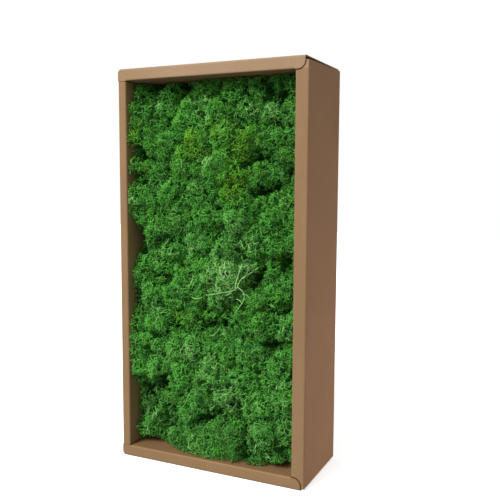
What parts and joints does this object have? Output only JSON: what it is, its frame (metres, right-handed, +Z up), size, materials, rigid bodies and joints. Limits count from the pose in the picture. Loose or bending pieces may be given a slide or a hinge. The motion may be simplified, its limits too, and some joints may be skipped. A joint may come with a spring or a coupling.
{
  "type": "tray of reindeer moss",
  "caption": "Soft green reindeer moss clumps packed tight in an open kraft cardboard tray with hollow walls, standing on its short side.",
  "frame": {"origin": "middle of the base that the tray stands on", "axes": "+Z up along the tray's long side, -Y out of the open front, +X to the right seen from the front"},
  "size_m": [0.255, 0.112, 0.5],
  "materials": {
    "kraft_board": "matte, brown kraft liner",
    "moss_leaf": "matte, bright green preserved lichen",
    "moss_olive": "matte, yellow-green preserved lichen",
    "moss_pale": "matte, pale green preserved lichen"
  },
  "bodies": {
    "root": {"carton_tray": "kraft_board", "moss_clump_01": "moss_leaf", "moss_clump_02": "moss_leaf", "moss_clump_03": "moss_leaf", "moss_clump_04": "moss_leaf", "moss_clump_05": "moss_leaf", "moss_clump_06": "moss_olive", "moss_clump_07": "moss_olive", "moss_clump_08": "moss_leaf", "moss_clump_09": "moss_leaf", "moss_clump_10": "moss_leaf", "moss_clump_11": "moss_leaf", "moss_clump_12": "moss_leaf", "moss_clump_13": "moss_leaf", "moss_clump_14": "moss_leaf", "moss_clump_15": "moss_pale", "moss_clump_16": "moss_leaf", "moss_clump_17": "moss_leaf", "moss_clump_18": "moss_leaf", "moss_clump_19": "moss_leaf", "moss_clump_20": "moss_leaf", "moss_clump_21": "moss_leaf", "moss_clump_22": "moss_leaf", "moss_clump_23": "moss_pale", "moss_clump_24": "moss_leaf", "moss_clump_25": "moss_leaf", "moss_clump_26": "moss_leaf", "moss_clump_27": "moss_leaf", "moss_clump_28": "moss_leaf"}
  },
  "joints": []
}
